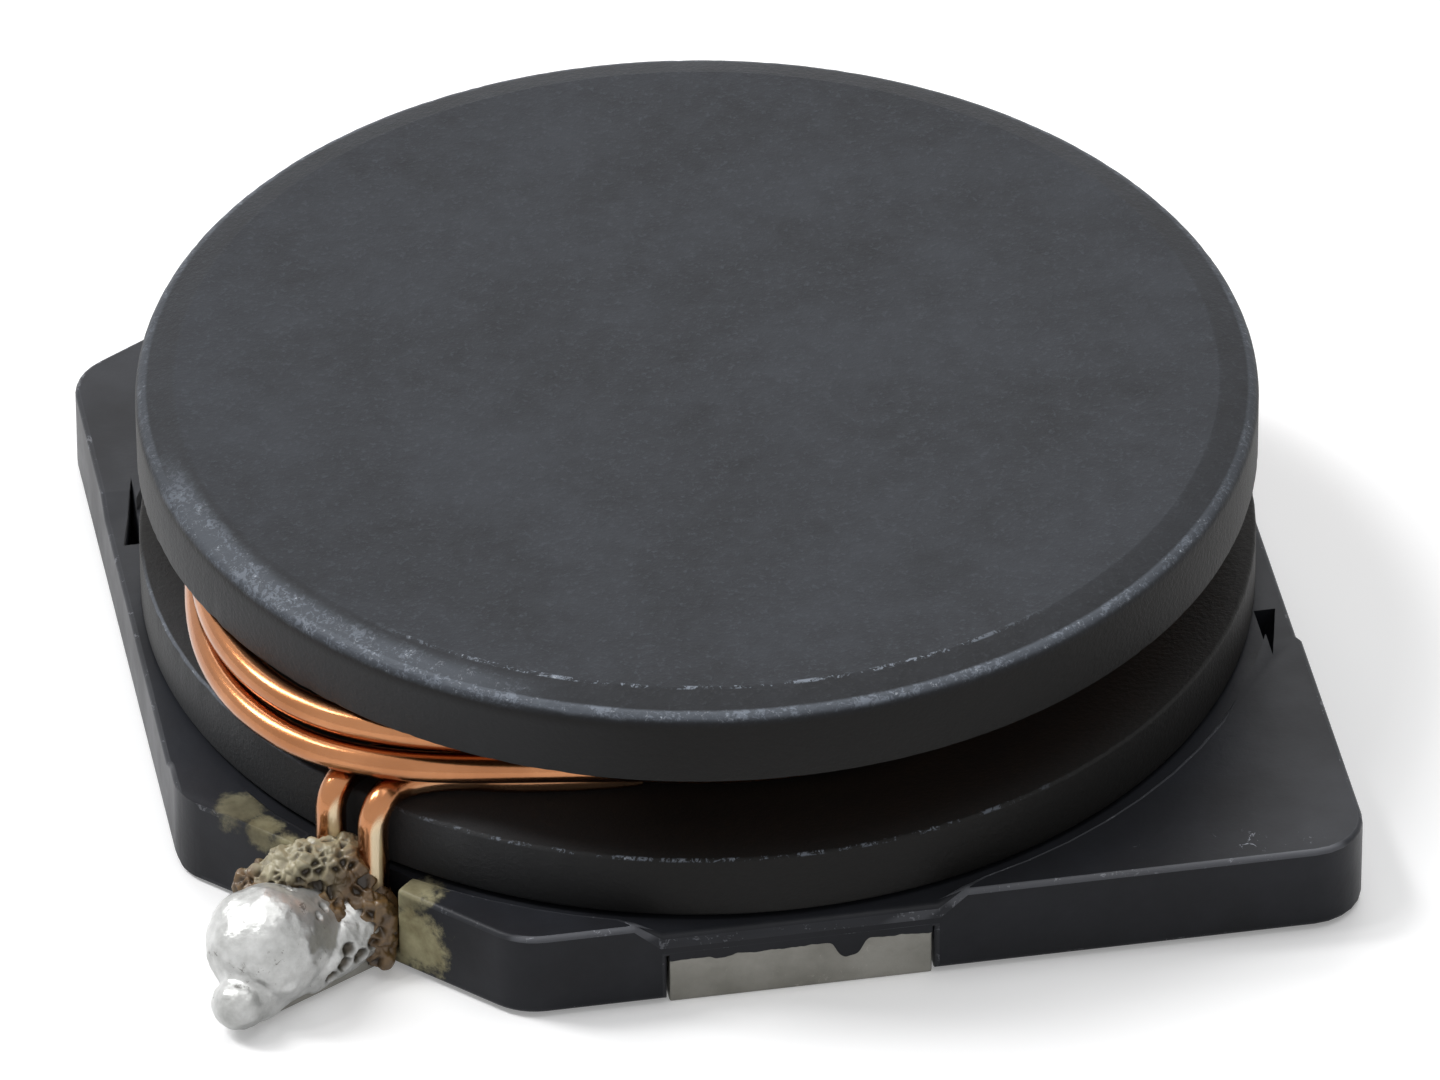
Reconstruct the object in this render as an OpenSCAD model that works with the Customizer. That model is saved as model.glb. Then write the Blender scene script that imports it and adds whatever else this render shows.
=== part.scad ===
// Surface-mount power inductor: a ferrite drum core wound with two copper strands side by side,
// glued to a moulded base that carries two flat terminals. The finished winding is open to view.
// The origin is on the drum's axis, at the level of the solder pads. +Z is up.

/* [Drum core] */
// Diameter of both flanges
flange_d = 10.18; // [9.9:0.02:10.24]
// Thickness of the upper flange at its rim
top_flange_t = 0.7; // [0.5:0.02:1.2]
// Thickness of the lower flange
low_flange_t = 0.625; // [0.5:0.005:1]
// Clear height of the winding window between the flanges
window_h = 0.865; // [0.865:0.005:1.6]
// Diameter of the centre post
post_d = 4.6; // [3:0.1:6]
// Radial width of the shallow bevel round the top face
bevel_w = 0.36; // [0.2:0.02:0.6]
// Height of that bevel
bevel_h = 0.09; // [0.04:0.01:0.16]
// Broken edge on the flange rims
rim_break = 0.04; // [0.02:0.01:0.08]

/* [Winding] */
// Diameter of one enamelled strand
wire_d = 0.28; // [0.2:0.005:0.28]
// Diameter over the packed turns
pack_d = 8.15; // [7:0.05:8.2]
// How far the lower strand's last turn swings out over the leads of each terminal
turn_bulge = 1.1; // [0:0.05:1.2]
// How far the upper strand's last turn swings out there
upper_bulge = 0.87; // [0:0.01:1]
// Angle over which a last turn swings out
turn_fade = 35; // [15:1:40]
// Angle over which it comes back to the pack
lead_fade = 22.5; // [10:0.5:30]
// Bend radius where a strand turns down to its terminal
bend_r = 0.25; // [0.18:0.01:0.32]
// Distance between the two leads of one terminal
lead_pitch = 0.466; // [0.4:0.002:0.6]
// How far the two leads together stand to one side of the middle of the terminal
lead_shift = 0.055; // [0:0.005:0.06]
// Gap between the leads and the rim of the lower flange
lead_gap = 0.085; // [0.04:0.005:0.1]

/* [Base] */
// Width of the square base
base_w = 10.4; // [10.4:0.05:11]
// Thickness of the plate under the drum
plate_t = 0.71; // [0.66:0.01:1.2]
// Height of the corner pads above the plate
pad_rise = 0.13; // [0.08:0.005:0.4]
// Gap between the drum and the curved wall of the corner pads
pad_gap = 0.175; // [0.05:0.005:0.25]
// Leg of the corner cut at each terminal
terminal_cut = 2.65; // [2.4:0.02:2.7]
// Legs of the marking cut on the rear left corner
mark_cut_x = 2.04; // [1:0.02:2.3]
mark_cut_y = 1.22; // [0.8:0.01:1.6]
// Radius of the square corner
corner_r = 0.52; // [0.2:0.02:0.8]
// Radius of the blunt corners beside the cuts
blunt_r = 0.6; // [0.2:0.05:0.8]
// Half width of the low stretch between the pads, front and back
low_half_x = 1.25; // [1.25:0.05:2]
// Half width of the low stretch between the pads, left and right
low_half_y = 1.85; // [1:0.05:2]
// Bevel on the upper edge of the plate
plate_bevel = 0.09; // [0.04:0.01:0.16]
// Length, width and depth of the moulding pocket at the end of a square pad
pocket_l = 0.85; // [0.6:0.05:1]
pocket_w = 0.2; // [0.12:0.02:0.24]
pocket_depth = 0.4; // [0.2:0.05:0.5]
// Wall left between that pocket and the side of the base
pocket_wall = 0.11; // [0.08:0.01:0.2]
// Width of the notch that lets the two leads down to their terminal
notch_w = 1.08; // [1.04:0.02:1.3]
// Thickness of the glue film under the drum
glue_t = 0.04; // [0.02:0.005:0.1]
// Diameter of the glue film
glue_d = 8; // [5:0.1:9]

/* [Terminals] */
// Thickness of the terminal strip
strip_t = 0.16; // [0.1:0.01:0.2]
// Width of the solder pad and of its turned-up tab
pad_w = 2.38; // [1.6:0.02:2.44]
// Length of the solder pad under the base
pad_l = 1.9; // [1.4:0.05:2.5]
// How far the solder pad stands below the base
standoff = 0.04; // [0.02:0.005:0.08]
// Height of the tab that turns up the side of the base
tab_h = 0.49; // [0.3:0.01:0.55]
// Width of the arm that joins the pad to the tongue
arm_w = 0.75; // [0.5:0.05:0.9]
// Distance of the tongue's tip from the drum's axis
tongue_reach = 7.05; // [6.7:0.05:7.3]
// Width of the tongue at its tip and where it leaves the base
tip_w = 0.5; // [0.36:0.02:0.56]
root_w = 0.9; // [0.7:0.02:1]

/* [Solder and flux] */
// Radius of the solder ball on the tongue
solder_r = 0.57; // [0.4:0.01:0.6]
// Radius of the lump of flux round the leads
flux_r = 0.34; // [0.24:0.01:0.36]

/* [Hidden] */
$fn = 96;

fit = 0.02;                 // clearance between pieces that touch
tube_sides = 10;            // faces round a strand
turn_step = 6;              // angle between the rings of a strand
skirt = 1;                  // how far a cutting shape reaches past what it cuts
rows = 3;                   // strands that stand on each other in the window
drum_sides = 180;           // fineness of the drum, its seat and the packed turns
wire_sides = 32;            // fineness of a round strand seen end on
bulge_lag = [5.5, 7];       // angle from a terminal's leads back to each strand's furthest swing
bend_step = 15;             // angle between the rings of the bend
tongue_back = 1.2;          // how far the tongue runs in under the base
arm_meets = 0.8;            // where the arm meets it, behind the terminal cut

flange_r = flange_d / 2;
half_w = base_w / 2;
plate_z = standoff + plate_t;
pad_z = plate_z + pad_rise;
drum_z = plate_z + glue_t;
window_z = drum_z + low_flange_t;
window_top = window_z + window_h;
rim_z = window_top + top_flange_t;
top_z = rim_z + bevel_h;

pack_r = pack_d / 2;
ring_r = pack_r + wire_d / 2 + fit;            // outermost full turn
row_pitch = max(wire_d, (window_h - fit) / rows);
row_z = [for (i = [0 : rows - 1]) window_z + fit / 2 + row_pitch * (i + 0.5)];

cut_u = (base_w - terminal_cut) / sqrt(2);     // face of the terminal cut from the axis
lead_u = flange_r + wire_d / 2 + lead_gap;
notch_u = flange_r + lead_gap / 2;
strip_z = standoff + strip_t;
lead_end_z = strip_z + fit;                    // the leads stand on the tongue
lead_v = [for (half = [-0.5, 0.5]) half * lead_pitch - lead_shift];
front_azimuth = 225;                           // direction of the front terminal corner
back_azimuth = front_azimuth - 180;

blob_sides = 20;                               // fineness of a blob of solder or flux
tip_out = tongue_reach - lead_u;               // the tongue's tip, from the leads
// Ends of each stroke of solder, in solder_r, and of flux, in flux_r, as stroke() takes them.
solder_strokes = [
    [[0.63, 0.64, 0.21, 0.32], [0.53, 1.6, 0.14, 0.18]],
    [[0.74, 1.34, -0.21, 0.49], [1, 2, -0.33, 0.63]],
    [[0.46, 2.2, -0.14, 0.14], [0.49, tip_out / solder_r - 0.09, -0.18, 0.14]]];
flux_strokes = [
    [[1, 0.3, -0.15, 1.95], [0.8, 1.37, -1, 2]],
    [[0.8, 1.37, -1, 2], [0.6, 2.55, -1.47, 1.9]],
    [[1, 0.3, -0.15, 1.75], [0.76, 0.84, 1.06, 0.9]]];

// ---- outlines -----------------------------------------------------------------------------

function unit(v) = v / norm(v);

// One corner of an outline as an arc of radius r, tangent to both of its sides.
function corner_arc(a, p, b, r, n = 6) =
    let (d1 = unit(a - p), d2 = unit(b - p),
         half = acos(d1 * d2) / 2,
         centre = p + unit(d1 + d2) * r / sin(half),
         t1 = p + d1 * r / tan(half) - centre,
         t2 = p + d2 * r / tan(half) - centre,
         start = atan2(t1[1], t1[0]),
         turn = ((atan2(t2[1], t2[0]) - start) + 540) % 360 - 180)
    [for (i = [0 : n]) centre + r * [cos(start + turn * i / n), sin(start + turn * i / n)]];

// A polygon's points with each corner rounded by its own radius.
function rounded(pts, radii) =
    let (n = len(pts))
    [for (i = [0 : n - 1]) each corner_arc(pts[(i + n - 1) % n], pts[i], pts[(i + 1) % n], radii[i])];

// The base seen from above: cut at both terminal corners, with a smaller cut that marks the rear left one.
base_outline = rounded(
    [[-half_w, terminal_cut - half_w], [terminal_cut - half_w, -half_w], [half_w, -half_w],
     [half_w, half_w - terminal_cut], [half_w - terminal_cut, half_w],
     [mark_cut_x - half_w, half_w], [-half_w, half_w - mark_cut_y]],
    [blunt_r, blunt_r, corner_r, blunt_r, blunt_r, blunt_r, blunt_r]);

// ---- frames -------------------------------------------------------------------------------

// Local X points out of a terminal corner along the diagonal: 1 is the front left one.
module at_terminal(side) rotate([0, 0, front_azimuth + (side == 1 ? 0 : 180)]) children();

// A point of the front terminal's frame, in the part's own.
function from_terminal(u, v, z) =
    [u * cos(front_azimuth) - v * sin(front_azimuth), u * sin(front_azimuth) + v * cos(front_azimuth), z];

function on_circle(r, azimuth, z) = [r * cos(azimuth), r * sin(azimuth), z];

// ---- swept strands ------------------------------------------------------------------------

// Points round the path at p, where it runs along t in the plane that has this normal.
function ring(p, t, normal, d) =
    let (across = cross(t, normal))
    [for (i = [0 : tube_sides - 1])
        p + d / 2 * (cos(360 * i / tube_sides) * normal + sin(360 * i / tube_sides) * across)];

module tube(path, normal, d, closed = false) {
    n = len(path);
    s = tube_sides;
    points = [for (i = [0 : n - 1])
        let (a = closed ? path[(i + n - 1) % n] : path[max(i - 1, 0)],
             b = closed ? path[(i + 1) % n] : path[min(i + 1, n - 1)])
        each ring(path[i], unit(b - a), normal, d)];
    sides = [for (i = [0 : (closed ? n - 1 : n - 2)], j = [0 : s - 1])
        let (k = (i + 1) % n, m = (j + 1) % s)
        each [[i * s + j, i * s + m, k * s + m], [i * s + j, k * s + m, k * s + j]]];
    caps = closed ? [] : [[for (j = [s - 1 : -1 : 0]) j], [for (j = [0 : s - 1]) (n - 1) * s + j]];
    polyhedron(points = points, faces = concat(sides, caps), convexity = 6);
}

// ---- base and glue ------------------------------------------------------------------------

// Three-sided pocket that the mould leaves where a square pad ends beside the drum.
module square_pocket() {
    x = half_w - pocket_wall;
    y = low_half_y - pocket_l / 2;
    translate([0, 0, plate_z - pocket_depth])
        linear_extrude(pocket_depth + pad_rise + skirt)
            polygon([[x, -y], [x - pocket_w, -y], [x - pocket_w, -y - pocket_l]]);
}

// Wedge that bevels the plate's edge over length l.
module plate_edge(l) rotate([90, 0, 90]) linear_extrude(l)
    polygon([[-skirt, -skirt], [plate_bevel + skirt, plate_bevel + skirt], [-skirt, plate_bevel + skirt]]);

module base() color("#2b2d33") {
    difference() {
        translate([0, 0, standoff]) linear_extrude(pad_z - standoff) polygon(base_outline);
        // round seat for the drum
        translate([0, 0, plate_z]) cylinder(r = flange_r + pad_gap, h = pad_rise + skirt, $fn = drum_sides);
        // low stretches between the corner pads
        translate([-low_half_x, -half_w - skirt, plate_z]) cube([2 * low_half_x, base_w + 2 * skirt, skirt]);
        translate([-half_w - skirt, -low_half_y, plate_z]) cube([base_w + 2 * skirt, 2 * low_half_y, skirt]);
        for (turn = [0, 180]) rotate([0, 0, turn]) {
            translate([-low_half_x, -half_w, plate_z - plate_bevel]) plate_edge(2 * low_half_x);
            square_pocket();
            terminal_room();
        }
        for (side = [1, 2]) at_terminal(side)
            translate([notch_u, -notch_w / 2, strip_z + fit]) cube([2 * skirt, notch_w, pad_z + skirt]);
    }
}

module adhesive() color("#b9a27a")
    translate([0, 0, plate_z]) cylinder(d = glue_d, h = glue_t);

// ---- drum core ----------------------------------------------------------------------------

module drum_core() color("#5d6064") {
    b = rim_break;
    rotate_extrude($fn = drum_sides) polygon([
        [0, drum_z], [flange_r - b, drum_z], [flange_r, drum_z + b],
        [flange_r, window_z - b], [flange_r - b, window_z], [post_d / 2, window_z],
        [post_d / 2, window_top], [flange_r - b, window_top], [flange_r, window_top + b],
        [flange_r, rim_z], [flange_r - bevel_w, top_z], [0, top_z]]);
}

// ---- winding ------------------------------------------------------------------------------

// The packed turns of both strands, which lie on each other in rows.
module winding() color("#b4622f") rotate_extrude($fn = drum_sides) {
    translate([post_d / 2 + fit, window_z + fit])
        square([pack_r - wire_d / 2 - post_d / 2 - fit, window_h - 2 * fit]);
    for (z = row_z) translate([pack_r - wire_d / 2, z]) circle(d = wire_d, $fn = wire_sides);
}

// A smooth swing, 1 at its furthest, that is quicker to come back than to go out.
function swing(angle) =
    let (d = (angle + 540) % 360 - 180)
    exp(-pow(d / (d < 0 ? turn_fade : lead_fade), 2));

// The last full turn of a strand, which passes over the leads of both terminals.
function last_turn(bulge, lag, z) = [for (a = [0 : turn_step : 360 - turn_step])
    on_circle(ring_r + bulge * (swing(a - front_azimuth + lag) + swing(a - back_azimuth + lag)), a, z)];

// A lead comes out of the pack along the lower flange and bends down over its rim to the tongue.
function lead(v, z) = concat(
    [[pack_r + fit, v, z]],
    [for (b = [0 : bend_step : 90]) [lead_u - bend_r * (1 - sin(b)), v, z - bend_r * (1 - cos(b))]],
    [[lead_u, v, (lead_end_z + z - bend_r) / 2], [lead_u, v, lead_end_z]]);

// Strand i of the two: its last turn, in the row above the leads or the next, and its two leads.
module strand(i, bulge) color("#d07a3c") {
    tube(last_turn(bulge, bulge_lag[i], row_z[i + 1]), [0, 0, 1], wire_d, closed = true);
    for (side = [1, 2]) at_terminal(side) tube(lead(lead_v[i], row_z[0]), [0, 1, 0], wire_d);
}

module strand_1() strand(0, turn_bulge);
module strand_2() strand(1, upper_bulge);

// ---- terminals ----------------------------------------------------------------------------

// Tongue that stands out of the terminal corner, in the terminal's own frame, drawn out by g.
module tongue_outline(g) polygon([
    [cut_u - tongue_back, -root_w / 2 - g], [cut_u, -root_w / 2 - g], [tongue_reach + g, -tip_w / 2 - g],
    [tongue_reach + g, tip_w / 2 + g], [cut_u, root_w / 2 + g], [cut_u - tongue_back, root_w / 2 + g]]);

// Flat pattern of the front terminal: pad, arm and tongue, drawn out by g.
module strip_outline(g) {
    root = from_terminal(cut_u - arm_meets, 0, 0);
    elbow = [-pad_w / 2, -half_w + pad_l - arm_w / 2];
    run = [root[0], root[1]] - elbow;
    translate([-pad_w / 2 - g, -half_w - g]) square([pad_w + 2 * g, pad_l + 2 * g]);
    translate(elbow) rotate([0, 0, atan2(run[1], run[0])])
        translate([-arm_w / 2, -arm_w / 2 - g]) square([norm(run) + arm_w / 2, arm_w + 2 * g]);
    rotate([0, 0, front_azimuth]) tongue_outline(g);
}

// Room that the base leaves for one terminal.
module terminal_room() {
    translate([0, 0, -skirt]) linear_extrude(skirt + strip_z + fit) strip_outline(fit);
    translate([-pad_w / 2 - fit, -half_w - skirt, -skirt])
        cube([pad_w + 2 * fit, skirt + strip_t + fit, skirt + tab_h + fit]);
}

module terminal() color("#a9a78f") {
    translate([0, 0, standoff]) linear_extrude(strip_t) strip_outline(0);
    translate([-pad_w / 2, -half_w, 0]) cube([pad_w, pad_l, strip_z]);
    translate([-pad_w / 2, -half_w, 0]) cube([pad_w, strip_t, tab_h]);
}

module terminal_1() terminal();
module terminal_2() rotate([0, 0, 180]) terminal();

// ---- solder and flux ----------------------------------------------------------------------

// Everything outside the drum and the cut corner and, above the tongue, the notch behind it.
module corner_room() difference() {
    union() {
        translate([cut_u + fit, -half_w, standoff]) cube([half_w, base_w, top_z]);
        translate([notch_u + fit, -notch_w / 2 + fit, strip_z + 2 * fit])
            cube([2 * skirt, notch_w - 2 * fit, top_z]);
    }
    translate([0, 0, -skirt]) cylinder(r = flange_r + fit, h = top_z + 2 * skirt, $fn = drum_sides);
}

module tongue_and_leads() {
    linear_extrude(strip_z + fit) tongue_outline(fit);
    for (v = lead_v) translate([lead_u, v, 0]) cylinder(d = wire_d + fit, h = top_z, $fn = wire_sides);
}

// A stroke of solder or flux: the blobs at its two ends and all that lies between them. A blob is
// [radius, distance out from the leads, distance across, height above the strip], all in size s.
module stroke(ends, s, g = 0) hull() {
    for (b = ends) translate([lead_u + b[1] * s, b[2] * s, strip_z + b[3] * s])
        sphere(r = b[0] * s + g, $fn = blob_sides);
}

// Solder runs from the leads along the tongue, heaps up in a ball and ends in a rounded tip.
module solder_shape(g = 0) for (ends = solder_strokes) stroke(ends, solder_r, g);

// Burnt flux clings round the leads and spreads over the solder.
module flux_shape() for (ends = flux_strokes) stroke(ends, flux_r);

module solder_joint() color("#c9ccd0") difference() {
    intersection() {
        solder_shape();
        corner_room();
    }
    tongue_and_leads();
}

module flux_residue() color("#a98e62") difference() {
    intersection() {
        flux_shape();
        corner_room();
    }
    solder_shape(fit);
    tongue_and_leads();
}

module solder_joint_1() at_terminal(1) solder_joint();
module solder_joint_2() at_terminal(2) solder_joint();
module flux_residue_1() at_terminal(1) flux_residue();
module flux_residue_2() at_terminal(2) flux_residue();

base();
adhesive();
drum_core();
winding();
strand_1();
strand_2();
terminal_1();
terminal_2();
solder_joint_1();
solder_joint_2();
flux_residue_1();
flux_residue_2();
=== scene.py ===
import bmesh
import bpy
import math
import numpy as np
from mathutils import Matrix, Vector, kdtree, noise


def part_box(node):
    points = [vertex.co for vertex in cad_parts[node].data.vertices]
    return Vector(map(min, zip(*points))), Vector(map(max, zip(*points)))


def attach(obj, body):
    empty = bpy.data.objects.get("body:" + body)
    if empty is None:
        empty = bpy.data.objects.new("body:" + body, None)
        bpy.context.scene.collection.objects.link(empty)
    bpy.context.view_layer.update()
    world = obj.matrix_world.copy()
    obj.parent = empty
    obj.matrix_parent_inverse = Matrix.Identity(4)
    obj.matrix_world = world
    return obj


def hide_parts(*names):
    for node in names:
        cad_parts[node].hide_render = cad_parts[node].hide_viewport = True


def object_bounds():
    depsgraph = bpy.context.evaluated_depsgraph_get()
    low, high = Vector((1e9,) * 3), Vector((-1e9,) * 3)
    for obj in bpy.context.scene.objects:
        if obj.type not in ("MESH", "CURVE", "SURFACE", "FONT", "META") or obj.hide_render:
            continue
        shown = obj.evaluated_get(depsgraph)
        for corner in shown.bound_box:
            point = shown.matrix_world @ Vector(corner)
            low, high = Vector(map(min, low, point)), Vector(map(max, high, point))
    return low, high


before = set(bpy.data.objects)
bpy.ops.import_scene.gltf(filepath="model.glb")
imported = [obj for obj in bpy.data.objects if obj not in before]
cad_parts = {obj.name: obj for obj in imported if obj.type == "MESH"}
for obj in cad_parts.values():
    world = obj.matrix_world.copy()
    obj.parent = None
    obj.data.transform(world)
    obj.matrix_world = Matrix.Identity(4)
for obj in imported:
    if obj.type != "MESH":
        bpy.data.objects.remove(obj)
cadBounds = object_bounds()

# Pieces are modelled in millimetres and brought to metres at the end of makePiece.
mm = 0.001
terminalAzimuth = 225  # direction of the front terminal, and the rear one is half a turn on


def nodeBox(name):
    low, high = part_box(name)
    return [v / mm for v in low], [v / mm for v in high]


drumLow, drumHigh = nodeBox("drum_core")
baseLow, baseHigh = nodeBox("base")
print("frame loaded, drum", [round(v, 2) for v in drumHigh])


def newObject(name, data):
    made = bpy.data.objects.new(name, data)
    bpy.context.scene.collection.objects.link(made)
    return made


viewpoint = dict(target=(0.241, 0.19, 1.0), distance=151.2, azimuth=-10.149, elevation=36.661,
                 roll=-0.17, lens=413.53, sensor=36, clip=(0.005, 20))


def makeCamera():
    s = viewpoint
    az, el = math.radians(s["azimuth"]), math.radians(s["elevation"])
    look = Vector((-math.sin(az) * math.cos(el), math.cos(az) * math.cos(el), -math.sin(el)))
    data = bpy.data.cameras.new("camera")
    data.sensor_fit = "HORIZONTAL"
    data.sensor_width = s["sensor"]
    data.lens = s["lens"]
    data.clip_start, data.clip_end = s["clip"]
    camera = newObject("camera", data)
    roll = Matrix.Rotation(math.radians(s["roll"]), 3, "Z")
    turn = look.to_track_quat("-Z", "Y").to_matrix() @ roll
    place = (Vector(s["target"]) - look * s["distance"]) * mm
    camera.matrix_world = Matrix.Translation(place) @ turn.to_4x4()
    bpy.context.scene.camera = camera


# Each lamp lies in a direction from the part, in degrees; level is the share of daylight it gives.
lamps = {
    "key": dict(azimuth=153, elevation=49, distance=0.26, width=0.055, height=0.12, level=0.44),
    "second": dict(azimuth=174, elevation=63, distance=0.26, width=0.03, height=0.04, level=0.08),
    "back": dict(azimuth=86, elevation=46, distance=0.30, width=0.2, height=0.11, level=0.15),
    "fill": dict(azimuth=25, elevation=76, distance=0.34, width=0.26, height=0.22, level=0.26),
}


def makeLamp(name, s):
    az, el = math.radians(s["azimuth"]), math.radians(s["elevation"])
    direction = Vector((math.cos(az) * math.cos(el), math.sin(az) * math.cos(el), math.sin(el)))
    data = bpy.data.lights.new(name, "AREA")
    data.shape = "RECTANGLE"
    data.size, data.size_y = s["width"], s["height"]
    data.energy = s["level"] * (math.pi * s["distance"]) ** 2 / math.sin(el)
    lamp = newObject(name, data)
    turn = direction.to_track_quat("Z", "Y").to_matrix().to_4x4()
    lamp.matrix_world = Matrix.Translation(direction * s["distance"]) @ turn


def addNode(tree, kind, inputs=None, **settings):
    # inputs are sockets to link or values to set
    n = tree.nodes.new(kind)
    for key, value in settings.items():
        setattr(n, key, value)
    for key, value in (inputs or {}).items():
        if isinstance(value, bpy.types.NodeSocket):
            tree.links.new(value, n.inputs[key])
        else:
            n.inputs[key].default_value = value
    return n


def calc(tree, operation, *values):
    return addNode(tree, "ShaderNodeMath", dict(enumerate(values)), operation=operation).outputs[0]


def plus(tree, *values):
    return calc(tree, "ADD", *values)


def minus(tree, *values):
    return calc(tree, "SUBTRACT", *values)


def times(tree, *values):
    return calc(tree, "MULTIPLY", *values)


def most(tree, *values):
    return calc(tree, "MAXIMUM", *values)


def distanceFrom(tree, value, centre):
    return calc(tree, "ABSOLUTE", minus(tree, value, centre))


def fade(tree, value, start, end):
    limits = {"Value": value, "From Min": start, "From Max": end}
    n = addNode(tree, "ShaderNodeMapRange", limits, interpolation_type="SMOOTHSTEP")
    return n.outputs["Result"]


def ring(tree, value, centre, half):
    # 1 at the centre, and 0 beyond half on either side
    return fade(tree, distanceFrom(tree, value, centre), half, half * 0.4)


def mixColour(tree, factor, first, second):
    def full(c):
        return c if isinstance(c, bpy.types.NodeSocket) else (*c, 1)
    given = {0: factor, 6: full(first), 7: full(second)}
    return addNode(tree, "ShaderNodeMix", given, data_type="RGBA").outputs[2]


def mixValue(tree, factor, first, second):
    given = {0: factor, 2: first, 3: second}
    return addNode(tree, "ShaderNodeMix", given, data_type="FLOAT").outputs[0]


def split(tree, vector):
    return addNode(tree, "ShaderNodeSeparateXYZ", {0: vector}).outputs


def combine(tree, x=0.0, y=0.0, z=0.0):
    return addNode(tree, "ShaderNodeCombineXYZ", {0: x, 1: y, 2: z}).outputs[0]


def vectorMath(tree, operation, output, **inputs):
    # a and b are the vectors, and Scale is a number
    given = {dict(a=0, b=1).get(key, key): value for key, value in inputs.items()}
    return addNode(tree, "ShaderNodeVectorMath", given, operation=operation).outputs[output]


def clouds(tree, point, scale, **settings):
    given = {"Vector": point, "Scale": scale, **settings}
    return addNode(tree, "ShaderNodeTexNoise", given).outputs[0]


def newGroup(name, vectors, values, **outputs):
    # vectors are the names of vector inputs, and values holds the others with their defaults
    tree = bpy.data.node_groups.new(name, "ShaderNodeTree")
    face = tree.interface
    for label in vectors:
        face.new_socket(label, in_out="INPUT", socket_type="NodeSocketVector")
    for label, value in values.items():
        socket = face.new_socket(label, in_out="INPUT", socket_type="NodeSocketFloat")
        socket.default_value = value
    for label, kind in outputs.items():
        face.new_socket(label, in_out="OUTPUT", socket_type="NodeSocket" + kind)
    start, end = tree.nodes.new("NodeGroupInput"), tree.nodes.new("NodeGroupOutput")
    return tree, start.outputs, end.inputs


def useGroup(tree, name, **inputs):
    n = tree.nodes.new("ShaderNodeGroup")
    n.node_tree = bpy.data.node_groups[name]
    for key, value in inputs.items():
        socket = n.inputs[key]
        if isinstance(value, bpy.types.NodeSocket):
            tree.links.new(value, socket)
        else:
            socket.default_value = value
    return n.outputs


def mask(tree, name, point, **inputs):
    return useGroup(tree, name, Point=point, **inputs)["Mask"]


# Effects that several materials share. Sizes are in millimetres.
def buildMottle():
    # soft clouds of tone, spread to reach both black and white
    sizes = dict(Size=1.0, Contrast=0.5)
    tree, given, out = newGroup("mottle", ["Point"], sizes, Mask="Float")
    scale = calc(tree, "DIVIDE", 1.0, given["Size"])
    cloud = clouds(tree, given["Point"], scale, Detail=5.0, Roughness=0.6)
    low = minus(tree, 0.5, times(tree, given["Contrast"], 0.45))
    tree.links.new(fade(tree, cloud, low, minus(tree, 1.0, low)), out["Mask"])


def buildGrain():
    # pressed and sintered grain: fine speckles with their own relief
    sizes = dict(Size=0.06, Depth=0.3)
    tree, given, out = newGroup("grain", ["Point"], sizes, Speckle="Float", Normal="Vector")
    scale = calc(tree, "DIVIDE", 1.0, given["Size"])
    fine = clouds(tree, given["Point"], scale, Detail=3.0, Roughness=0.7)
    relief = {"Height": fine, "Strength": given["Depth"], "Distance": 0.02 * mm}
    bump = addNode(tree, "ShaderNodeBump", relief)
    tree.links.new(fade(tree, fine, 0.52, 0.74), out["Speckle"])
    tree.links.new(bump.outputs[0], out["Normal"])


def buildScuffs():
    # short nicks and rubbed patches that lie in clusters
    sizes = dict(Size=0.3, Amount=0.3)
    tree, given, out = newGroup("scuffs", ["Point"], sizes, Mask="Float")
    scale = calc(tree, "DIVIDE", 1.0, given["Size"])
    patch = clouds(tree, given["Point"], scale, Detail=2.0)
    nick = clouds(tree, given["Point"], times(tree, scale, 5.0), Detail=4.0, Roughness=0.75,
                  Distortion=0.8)
    edge = minus(tree, 0.78, times(tree, given["Amount"], 0.35))
    both = plus(tree, times(tree, nick, 0.65), times(tree, patch, 0.35))
    tree.links.new(fade(tree, both, edge, plus(tree, edge, 0.05)), out["Mask"])


def buildPlace():
    # distance from the drum's axis, height, and how near a point's direction is to Azimuth
    tree, given, out = newGroup("place", ["Point"], dict(Azimuth=0.0), Radius="Float",
                                Height="Float", Facing="Float")
    parts = split(tree, given["Point"])
    radius = vectorMath(tree, "LENGTH", "Value", a=combine(tree, parts[0], parts[1]))
    angle = calc(tree, "RADIANS", given["Azimuth"])
    along = plus(tree, times(tree, parts[0], calc(tree, "COSINE", angle)),
                 times(tree, parts[1], calc(tree, "SINE", angle)))
    facing = calc(tree, "DIVIDE", along, most(tree, radius, 0.001))
    tree.links.new(radius, out["Radius"])
    tree.links.new(parts[2], out["Height"])
    tree.links.new(facing, out["Facing"])


def buildPatch():
    # a stain with a ragged outline round one point
    sizes = dict(Radius=0.4)
    tree, given, out = newGroup("patch", ["Point", "Centre"], sizes, Mask="Float")
    away = vectorMath(tree, "DISTANCE", "Value", a=given["Point"], b=given["Centre"])
    ragged = clouds(tree, given["Point"], 4.0, Detail=5.0, Roughness=0.7)
    share = calc(tree, "DIVIDE", away, given["Radius"])
    share = plus(tree, share, times(tree, minus(tree, ragged, 0.5), 1.6))
    tree.links.new(fade(tree, share, 1.0, 0.55), out["Mask"])


for build in (buildMottle, buildGrain, buildScuffs, buildPlace, buildPatch):
    build()
print("shared effects ready")


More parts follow.
